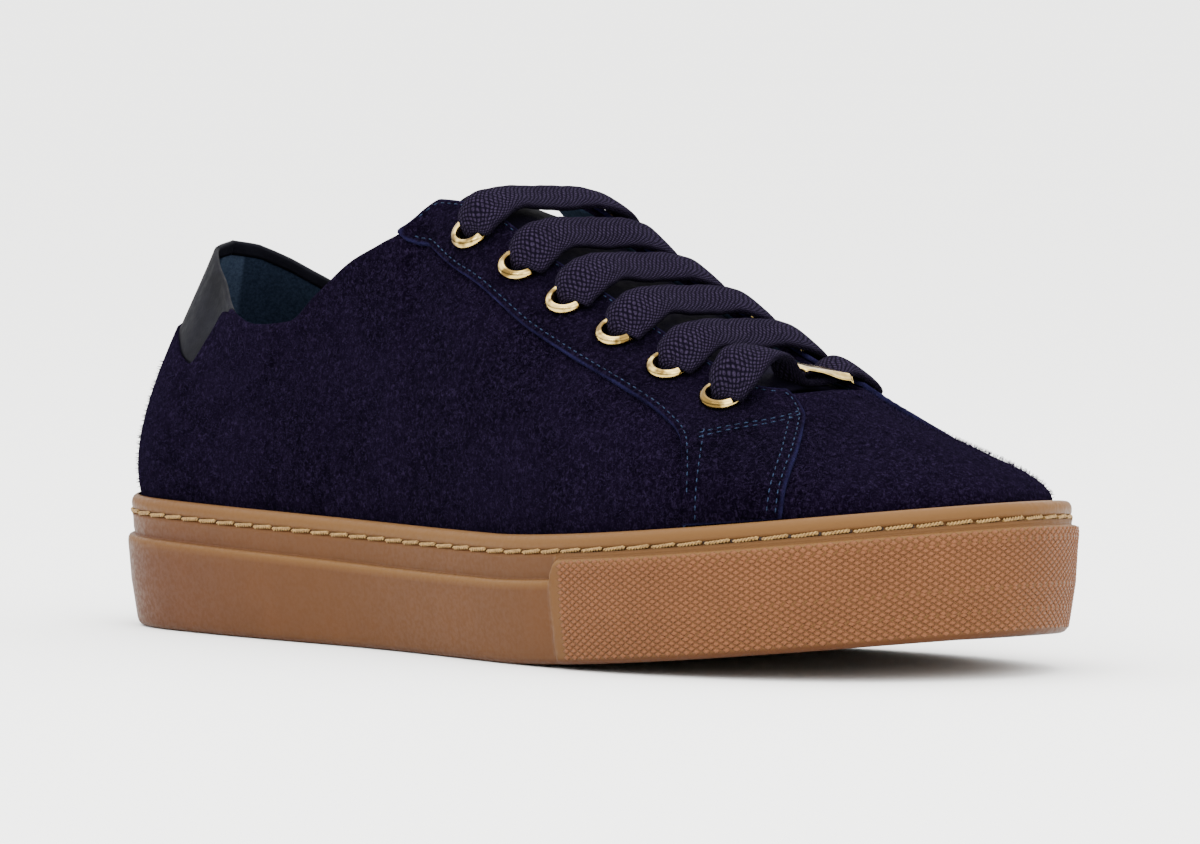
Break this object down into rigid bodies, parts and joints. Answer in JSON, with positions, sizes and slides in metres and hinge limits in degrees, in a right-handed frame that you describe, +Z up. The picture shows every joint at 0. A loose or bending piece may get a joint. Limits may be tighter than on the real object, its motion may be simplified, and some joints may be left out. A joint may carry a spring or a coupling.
{
  "type": "sneaker",
  "caption": "Low-top lace-up suede sneaker with a stitched gum rubber cup sole, metal eyelets and a leather heel tab.",
  "frame": {"origin": "middle of the footprint, on the floor under the sole", "axes": "+X to the toe, +Y to the inner (medial) side of the foot, +Z up"},
  "size_m": [0.3008, 0.113, 0.1153],
  "materials": {
    "gum_rubber": "matt, brown gum",
    "footbed": "matt",
    "navy_suede": "napped suede",
    "smooth_leather": "smooth, half matt",
    "gold_plate": "polished",
    "cotton_lace": "braided"
  },
  "bodies": {
    "root": {"sole": "gum_rubber", "insole": "footbed", "upper": "navy_suede", "tongue": "smooth_leather", "eyestay_lateral": "navy_suede", "eyestay_medial": "navy_suede", "heel_tab": "smooth_leather", "eyelet_lateral_1": "gold_plate", "eyelet_lateral_2": "gold_plate", "eyelet_lateral_3": "gold_plate", "eyelet_lateral_4": "gold_plate", "eyelet_lateral_5": "gold_plate", "eyelet_lateral_6": "gold_plate", "eyelet_medial_1": "gold_plate", "eyelet_medial_2": "gold_plate", "eyelet_medial_3": "gold_plate", "eyelet_medial_4": "gold_plate", "eyelet_medial_5": "gold_plate", "eyelet_medial_6": "gold_plate", "lace_bar_1": "cotton_lace", "lace_bar_2": "cotton_lace", "lace_bar_3": "cotton_lace", "lace_bar_4": "cotton_lace", "lace_bar_5": "cotton_lace", "lace_bar_6": "cotton_lace", "lace_tag": "gold_plate"}
  },
  "joints": []
}
